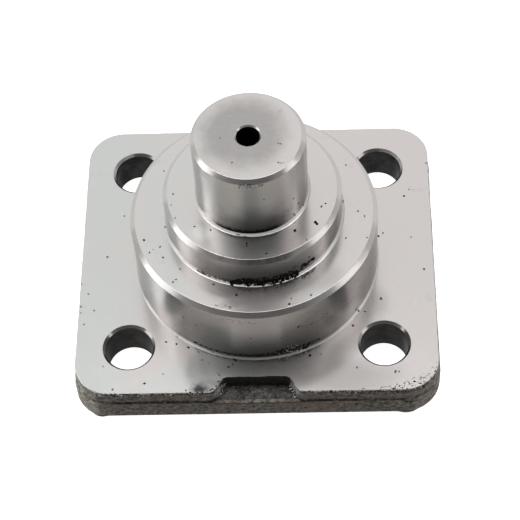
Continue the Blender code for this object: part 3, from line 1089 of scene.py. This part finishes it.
def forged_skin(name, finish, darkening, bright_edge):
    """Dark scale with lumps, pits and flecks, outside and in the slot, with painted light towards the
    sides' corners.
    """
    material, tree, shader = new_material(name)
    centred, parts = centred_place(tree)
    x = parts[0]
    steel = finish.steel_color
    scale = scaled(finish.scale_color, darkening)
    outside = bright_edge > 0
    speckle_scale, flecks = (2600.0, 0.65) if outside else (1700.0, 0.4)
    squashed = stretched(centred, 1.0, 1.0, 1.7)
    lumps = noise_value(squashed, 420.0, 6.0, 0.62)
    broad = noise_value(squashed, 90.0, 3.0)
    speckle = noise_value(centred, speckle_scale)
    tone = mixed_color(ease(lumps, 0.38, 0.62), scaled(scale, 0.3), scaled(scale, 1.5))
    warmed = mixed_color(ease(broad, 0.42, 0.6, 0.0, 0.6), tone, tinted(scale, BROWN_TINT))
    # Painted light: the forged sides brighter towards the left and right corners, where the side lights
    # fall, and less red at the left corner
    aside = ease(abs(x), 0.05, 0.063, 1.0, ramp(x, -0.01, 0.01, 2.3, 1.7))
    less_red = ramp(x, -0.06, -0.045, 0.92, 1.0)
    warmed = mixed_color(1.0, warmed, rgb(aside * less_red, aside, aside), "MULTIPLY")
    pitted = ramp(noise_value(centred, 1100.0), 0.34, 0.46, 0.8, 0.0)
    warmed = mixed_color(pitted, warmed, scaled(scale, 0.12))
    worn = mixed_color(ramp(speckle, 0.59, 0.72, 0.0, flecks), warmed, scaled(steel, 0.6))
    if outside:
        color, metallic = outer_skin(steel, scale, worn, centred, parts, bright_edge)
    else:
        color, metallic = slot_skin(steel, scale, worn, parts, lumps, speckle)
    set_inputs(shader, {
        "Base Color": color, "Metallic": metallic, "Roughness": ramp(lumps, 0.3, 0.7, 0.62, 0.45),
        "Normal": fine_relief(lumps, 0.8, 0.0002)})
    return material


def drilled_bore(finish):
    """A drilled wall, darkened as painted shade inside the hole, with spiral marks of the drill."""
    material, tree, shader = new_material("drilled_bore")
    centred, parts = centred_place(tree)
    steel = finish.steel_color
    spiral = noise_value(stretched(centred, 60.0, 60.0, 1900.0), 1.0, 4.0)
    mottling = noise_value(centred, 240.0, 3.0)
    # Painted shade: the bore's near-black colour
    dark = mixed_color(ramp(mottling, 0.35, 0.65), scaled(steel, 0.03), scaled(steel, 0.085))
    # Painted shade: front holes darker than rear ones, a little blue
    shade = ramp(parts[1], -0.02, 0.02, 0.62, 1.12)
    shaded = mixed_color(1.0, dark, rgb(shade * 0.97, shade, shade * 1.08), "MULTIPLY")
    set_inputs(shader, {
        "Base Color": shaded, "Metallic": 0.9, "Roughness": ramp(spiral, 0.3, 0.7, 0.3, 0.5),
        "Normal": fine_relief(spiral, 0.3, 0.00004)})
    return material


def grime_and_highlight_material(finish):
    """Dried grease and dirt: black at a depth of 1, grey at 0 and bare bright metal at -1, which on the
    slot's flanks is painted highlight.
    """
    material, tree, shader = new_material("dried_grime_and_highlights")
    steel = finish.steel_color
    grime = finish.grime_color
    depth = reading(tree, "ShaderNodeAttribute", output="Fac", attribute_name="depth")
    grain = noise_value(texture_place(tree, "Object"), 1800.0, 3.0)
    pale = mixed_color(ramp(grain, 0.35, 0.65), scaled(steel, 0.16), scaled(steel, 0.34))
    dark = mixed_color(ramp(grain, 0.4, 0.7), grime, scaled(grime, 3.0))
    crumb = mixed_color(ramp(depth, 0.0, 1.0), pale, dark)
    bare = ramp(depth, -1.0, 0.0, 1.0, 0.0)
    set_inputs(shader, {
        "Base Color": mixed_color(bare, crumb, scaled(steel, 1.45)), "Roughness": 0.75,
        "Specular IOR Level": 0.1})
    return material


def camera_matrix():
    looking = (CAMERA_AIM - CAMERA_EYE).to_track_quat("-Z", "Y").to_matrix()
    turned = looking @ Matrix.Rotation(CAMERA_ROLL, 3, "Z")
    return Matrix.Translation(CAMERA_EYE) @ turned.to_4x4()


def sight_line(x, y):
    """The direction from the camera through a pixel of the photograph."""
    focal = CAMERA_LENS / SENSOR_WIDTH * PHOTO_SIZE
    middle = PHOTO_SIZE / 2
    local = Vector(((x - middle) / focal, -(y - middle) / focal, -1.0))
    return (camera_matrix().to_3x3() @ local).normalized()


def crumb_tree():
    """Irregular flat crumbs on points, each leaning with the surface that it sits on."""
    tree, given = new_geometry_tree("crumbs_on_steel", {
        "Flatness": "Float", "Unevenness": "Float", "Seed": "Int", "Material": "Material"})
    size = reading(tree, "GeometryNodeInputNamedAttribute", {"Name": "size"})
    lean = reading(tree, "GeometryNodeInputNamedAttribute", {"Name": "lean"},
                   data_type="FLOAT_VECTOR")
    upright = reading(tree, "FunctionNodeAlignRotationToVector", {"Vector": lean}, axis="Z")
    spin, stretch = [
        reading(tree, "FunctionNodeRandomValue", {"Min": least, "Max": most, "Seed": given["Seed"]},
                data_type="FLOAT_VECTOR")
        for least, most in (((0.0, 0.0, 0.0), (0.0, 0.0, 2 * math.pi)),
                            ((0.7, 0.5, 0.8), (1.35, 1.0, 1.2)))]
    turned = reading(tree, "FunctionNodeRotateRotation", {0: upright, 1: spin},
                     rotation_space="LOCAL")
    proportions = vector_math("MULTIPLY", stretch, xyz(1.0, 1.0, given["Flatness"]))
    ball = reading(tree, "GeometryNodeMeshIcoSphere", {"Radius": 1.0, "Subdivisions": 1})
    placed = reading(tree, "GeometryNodeInstanceOnPoints", {
        "Points": given["Geometry"], "Instance": ball,
        "Rotation": turned, "Scale": scaled_vector(proportions, size)})
    real = reading(tree, "GeometryNodeRealizeInstances", {0: placed})
    place = reading(tree, "GeometryNodeInputPosition")
    bumps = reading(tree, "ShaderNodeTexNoise", {
        "Vector": place, "Scale": CRUMB_NOISE_SCALE, "Detail": 2.0}, "Color")
    centred = vector_math("SUBTRACT", bumps, (0.5, 0.5, 0.5))
    rough = reading(tree, "GeometryNodeSetPosition", {
        "Geometry": real, "Offset": scaled_vector(centred, size * given["Unevenness"])})
    close_tree(tree, rough, given["Material"])
    return tree


def crumbs(name, spots, flatness, unevenness, seed, material):
    """A piece of many crumbs, from (place, normal, size, depth) spots on the steel."""
    mesh = bpy.data.meshes.new(name)
    mesh.from_pydata([spot[0] for spot in spots], [], [])
    for label, kind in (("size", "FLOAT"), ("lean", "FLOAT_VECTOR"), ("depth", "FLOAT")):
        mesh.attributes.new(label, kind, "POINT")
    for index, (_, normal, size, depth) in enumerate(spots):
        mesh.attributes["size"].data[index].value = size
        mesh.attributes["lean"].data[index].vector = normal
        mesh.attributes["depth"].data[index].value = depth
    mesh.materials.append(material)
    piece = new_object(name, mesh)
    tree = bpy.data.node_groups.get("crumbs_on_steel") or crumb_tree()
    shape_by_tree(piece, tree, {
        "Flatness": flatness, "Unevenness": unevenness, "Seed": seed, "Material": material})
    piece.data.materials.clear()
    piece.data.materials.append(material)
    piece.data.polygons.foreach_set("material_index", [0] * len(piece.data.polygons))
    return piece


def steel_surface():
    """The finished pin's surface, for casting lines of sight on it."""
    return BVHTree.FromObject(bpy.data.objects["finished_pin"], bpy.context.evaluated_depsgraph_get())


def pixel_span(place):
    """How wide a pixel of the photograph is at a place on the steel."""
    return (place - CAMERA_EYE).length * SENSOR_WIDTH / CAMERA_LENS / PHOTO_SIZE


def spot_at_pixel(surface, x, y):
    """Where a pixel of the photograph meets the steel, and the way the steel faces there."""
    place, normal, *_ = surface.ray_cast(CAMERA_EYE, sight_line(x, y))
    return (place, normal) if place is not None else None


class KINGPIN_OT_finished_pin(bpy.types.Operator):
    """Model the pin and its forged flange with their finished surfaces"""

    bl_idname = "king_pin.finished_pin"
    bl_label = "Finished Pin"

    def execute(self, context):
        sizes = context.scene.king_pin_sizes
        finish = context.scene.king_pin_finish
        materials = [
            turned_steel("turned_wall", finish, finish.wall_roughness, 0.7, 0.1, walls=True),
            turned_steel("turned_face", finish, finish.face_roughness, 0.2, 0.05, walls=False),
            forged_skin("forged_skin", finish, 1.0, 0.0004),
            drilled_bore(finish),
            # The slot's skin: the forged skin darkened as painted shade of the recess
            forged_skin("rough_slot", finish, 0.48, 0.0),
        ]
        pin = forged_flange(sizes, finish)
        pin.name = "finished_pin"
        parts = [stepped_pin(sizes, finish, materials[TURNED]), pry_slot_cutter(sizes, finish)]
        parts += [
            drill(f"bolt_drill_{index}", sizes.bolt_diameter, sizes.bolt_chamfer, FLANGE_TOP,
                  place.x, place.y, materials[BORED])
            for index, place in enumerate(bolt_places(sizes))
        ]
        parts.append(drill("grease_drill", sizes.grease_diameter, sizes.grease_chamfer, PIN_TOP,
                           0.0, AXIS_Y, materials[BORED]))
        for part in parts:
            combine(pin, part, "UNION" if part.name == "stepped_pin" else "DIFFERENCE")
        plain_mesh(pin)
        for part in parts:
            bpy.data.objects.remove(part)
        finish_shading(pin, materials, lambda centre, normal: surface_kind(sizes, centre, normal))
        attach(pin, BODY)
        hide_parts(NODE)
        return {"FINISHED"}


def mark_spots(surface, marks, depth):
    """Spots where single marks of the photograph sit on the steel."""
    spots = []
    for x, y, radius in marks:
        found = spot_at_pixel(surface, x, y)
        if found is None:
            raise RuntimeError(f"No steel at pixel {x}, {y}")
        place, normal = found
        spots.append((place, normal, MARK_SIZE * radius * pixel_span(place), depth))
    return spots


def band_spots(surface, band, count, smallest, largest, depth, chance):
    """Spots strewn over a band of the photograph, with radii in pixels."""
    spots = []
    while len(spots) < count:
        x = chance.uniform(band[0][0], band[-1][0])
        end = next(index for index, row in enumerate(band) if row[0] >= x)
        (x0, upper0, lower0), (x1, upper1, lower1) = band[max(end, 1) - 1], band[max(end, 1)]
        share = (x - x0) / (x1 - x0)
        upper = upper0 + (upper1 - upper0) * share
        lower = lower0 + (lower1 - lower0) * share
        found = spot_at_pixel(surface, x, chance.uniform(upper, lower))
        if found is None:
            continue
        place, normal = found
        radius = smallest + (largest - smallest) * chance.random() ** 2
        spots.append((place, normal, radius * pixel_span(place), depth))
    return spots


def dress_steel(piece):
    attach(piece, BODY)


class KINGPIN_OT_foot_dirt(bpy.types.Operator):
    """Pack the dried dirt into the corners at the foot of each turned step"""

    bl_idname = "king_pin.foot_dirt"
    bl_label = "Foot Dirt"

    def execute(self, context):
        finish = context.scene.king_pin_finish
        surface = steel_surface()
        chance = random.Random(finish.seed)
        black = grime_and_highlight_material(finish)
        strewn = [
            (SHOULDER_FOOT_CRUST, 560, 0.6, 1.9, 1.0), (SHOULDER_FOOT_EDGE, 110, 0.4, 0.9, 1.0),
            (SHOULDER_FOOT_CLOTS, 90, 0.5, 1.6, 1.0), (SHOULDER_WALL_SMEAR, 14, 0.4, 0.9, 1.0),
            (PILOT_FOOT_EDGE, 280, 0.4, 1.0, 1.0), (PILOT_FOOT_CRUST, 170, 0.5, 1.4, 1.0),
            (PILOT_FOOT_LINE, 60, 0.4, 0.8, 1.0), (PIN_FOOT_EDGE, 130, 0.35, 0.85, 1.0),
            (PIN_FOOT_CLOT, 34, 0.4, 0.9, 1.0),
            (SHOULDER_FOOT_CHIPS, 30, 0.3, 0.8, -1.0), (PILOT_FOOT_CRUST, 50, 0.4, 0.9, -1.0),
        ]
        spots = []
        for row in strewn:
            spots += band_spots(surface, *row, chance)
        dress_steel(crumbs("foot_dirt", spots, 0.45, 0.9, finish.seed, black))
        return {"FINISHED"}


class KINGPIN_OT_pits(bpy.types.Operator):
    """Mark the pits, specks and faint marks on the machined and forged faces, the painted highlights on
    the slot's flanks and the partly painted shadow line under the front edge's burr
    """

    bl_idname = "king_pin.pits"
    bl_label = "Pits and Specks"

    def execute(self, context):
        finish = context.scene.king_pin_finish
        surface = steel_surface()
        chance = random.Random(finish.seed + 1)
        black = bpy.data.materials["dried_grime_and_highlights"]
        spots = mark_spots(surface, PITS, 1.0) + mark_spots(surface, FAINT_MARKS, 0.0)
        strewn = [
            (PIN_TOP_CRUMBS, 66, 0.4, 1.0, 1.0), (PILOT_TOP_CRUMBS, 26, 0.4, 0.9, 0.7),
            (FACE_SCRATCH, 16, 0.5, 1.2, 1.0), (SLOT_CORNER_DIRT, 14, 0.4, 0.9, 1.0),
            (RIGHT_CORNER_SPECKS, 120, 0.35, 0.85, 0.9),
            # Bright crumbs on the slot's flanks are painted highlights
            (RIGHT_CORNER_SPECKS, 40, 0.25, 0.55, -1.0), (SLOT_LEFT_FLANK_HIGHLIGHTS, 44, 0.4, 1.0, -1.0),
            (SLOT_RIGHT_FLANK_HIGHLIGHTS, 34, 0.4, 1.0, -1.0), (SLOT_FLOOR_GRAINS, 50, 0.3, 0.6, -0.2),
            (SLOT_FLOOR_GRAINS, 60, 0.3, 0.8, 1.0),
            (PIN_TOP_CRUMBS, 26, 0.4, 0.8, -1.0), (PIN_FOOT_CHIPS, 26, 0.4, 1.0, -1.0),
            # Dark crumbs along the front edge: specks, partly a painted shadow line under the burr
            (FRONT_EDGE_LEFT, 110, 0.5, 1.3, 1.0), (FRONT_EDGE_RIGHT, 110, 0.5, 1.3, 1.0),
            (FRONT_EDGE_LEFT, 36, 0.4, 1.1, -1.0), (FRONT_EDGE_RIGHT, 36, 0.4, 1.1, -1.0),
        ]
        for row in strewn:
            spots += band_spots(surface, *row, chance)
        dress_steel(crumbs("pits_and_specks", spots, 0.22, 0.5, finish.seed + 1, black))
        return {"FINISHED"}


def softbox(name, azimuth, elevation, width, height, brightness, color):
    """A soft light seen from the part at these degrees; 0 is the front and 90 the right."""
    turn = math.radians(azimuth)
    rise = math.radians(elevation)
    towards = Vector((math.sin(turn) * math.cos(rise), -math.cos(turn) * math.cos(rise), math.sin(rise)))
    light = bpy.data.lights.new(name, "AREA")
    light.shape = "RECTANGLE"
    light.size = 2 * LIGHT_DISTANCE * math.tan(math.radians(width / 2))
    light.size_y = 2 * LIGHT_DISTANCE * math.tan(math.radians(height / 2))
    light.energy = brightness * math.pi * light.size * light.size_y
    light.color = color
    lamp = bpy.data.objects.new(name, light)
    lamp.location = LIT_POINT + towards * LIGHT_DISTANCE
    lamp.rotation_euler = (-towards).to_track_quat("-Z", "Y").to_euler()
    lamp.visible_camera = False
    bpy.context.scene.collection.objects.link(lamp)


def studio_floor():
    """A pale floor that rises into a backdrop far behind, seen by the camera only."""
    shape = bmesh.new()
    radius, rim, rings, sides = 2.5, 1.4, 12, 96
    levels = [(radius * step / 4, 0.0) for step in range(1, 5)]
    levels += [(radius + rim * math.sin(math.pi / 2 * step / rings),
                rim * (1 - math.cos(math.pi / 2 * step / rings))) for step in range(1, rings + 1)]
    levels.append((radius + rim, 3.5))
    middle = shape.verts.new((0.0, 0.0, 0.0))
    rows = []
    for reach, height in levels:
        rows.append([shape.verts.new((reach * math.cos(2 * math.pi * side / sides),
                                      reach * math.sin(2 * math.pi * side / sides), height))
                     for side in range(sides)])
    for side in range(sides):
        following = (side + 1) % sides
        shape.faces.new((middle, rows[0][side], rows[0][following]))
        for inner, outer in zip(rows, rows[1:]):
            shape.faces.new((inner[side], outer[side], outer[following], inner[following]))
    floor = object_from(shape, "studio_floor")
    floor.data.shade_smooth()
    floor.location.z = LOW.z - FLOOR_GAP
    floor.visible_glossy = floor.visible_diffuse = floor.visible_shadow = False
    material, tree, shader = new_material("pale_floor")
    grain = noise_value(texture_place(tree, "Object"), 6.0)
    set_inputs(shader, {
        "Base Color": mixed_color(grain, (0.9, 0.9, 0.9), (0.93, 0.93, 0.93)), "Roughness": 0.9,
        "Emission Color": (1.0, 1.0, 1.0, 1.0), "Emission Strength": 0.93})
    floor.data.materials.append(material)


def studio_room(studio):
    """The room that the steel reflects: a white sweep behind it and a dim front."""
    world = bpy.data.worlds.new("studio_room")
    bpy.context.scene.world = world
    world.use_nodes = True
    tree = world.node_tree
    x, y, z = parts_of(texture_place(tree, "Generated"))
    front = ease(z, 0.25, 0.6, studio.front_room, studio.front_ceiling)
    front = front * ease(abs(x), 0.45, 0.7, 1.0, 1.6)
    back = ease(z, -0.3, 0.4, studio.back_room * 0.8, studio.back_room)
    dim_right = ease(x, 0.05, 0.35, 0.8, 0.35)
    back = back * ramp(z, -0.82, -0.62, dim_right, 1.0)
    gap = ease(x, 0.22, 0.38, 1.0, 0.35)
    back = back * ramp(z, 0.4, 0.6, 1.0, gap)
    behind = ease(y, -0.15, 0.45)
    set_inputs(tree.nodes["Background"], {
        "Color": ROOM_COLOR, "Strength": behind * back + (1.0 - behind) * front})


class KINGPIN_OT_studio(bpy.types.Operator):
    """Add the pale floor, the soft lights and the camera"""

    bl_idname = "king_pin.studio"
    bl_label = "Studio"

    def execute(self, context):
        studio = context.scene.king_pin_studio
        studio_floor()
        studio_room(studio)
        for *placed, setting, share, color in SOFTBOXES:
            softbox(*placed, getattr(studio, setting) * share, color)
        camera = bpy.data.cameras.new("photograph_camera")
        camera.lens = CAMERA_LENS
        camera.sensor_width = SENSOR_WIDTH
        camera.sensor_fit = "HORIZONTAL"
        camera.clip_start = 0.01
        photographer = bpy.data.objects.new("photograph_camera", camera)
        photographer.matrix_world = camera_matrix()
        context.scene.collection.objects.link(photographer)
        context.scene.camera = photographer
        context.scene.view_settings.view_transform = "Standard"
        return {"FINISHED"}


class KINGPIN_PT_panel(bpy.types.Panel):
    """The pin's sizes, finish and studio, with a button for each step"""

    bl_idname = "KINGPIN_PT_panel"
    bl_label = "King Pin"
    bl_space_type = "VIEW_3D"
    bl_region_type = "UI"
    bl_category = "King Pin"

    def draw(self, context):
        layout = self.layout
        for step in OPERATORS:
            layout.operator(step.bl_idname)
        for group_name in PROPERTY_GROUPS:
            group = getattr(context.scene, group_name)
            box = layout.box()
            for name in group.bl_rna.properties.keys():
                if name not in ("rna_type", "name"):
                    box.prop(group, name)


PROPERTY_GROUPS = {
    "king_pin_sizes": KingPinSizes,
    "king_pin_finish": KingPinFinish,
    "king_pin_studio": KingPinStudio,
}
OPERATORS = (KINGPIN_OT_finished_pin, KINGPIN_OT_foot_dirt, KINGPIN_OT_pits, KINGPIN_OT_studio)


def register():
    for each in (*PROPERTY_GROUPS.values(), *OPERATORS, KINGPIN_PT_panel):
        bpy.utils.register_class(each)
    for name, group in PROPERTY_GROUPS.items():
        setattr(bpy.types.Scene, name, PointerProperty(type=group))


def unregister():
    for name in PROPERTY_GROUPS:
        delattr(bpy.types.Scene, name)
    for each in reversed((*PROPERTY_GROUPS.values(), *OPERATORS, KINGPIN_PT_panel)):
        bpy.utils.unregister_class(each)


def main():
    register()
    bpy.ops.king_pin.finished_pin()
    bpy.ops.king_pin.foot_dirt()
    bpy.ops.king_pin.pits()
    bpy.ops.king_pin.studio()


if __name__ == "__main__":
    main()
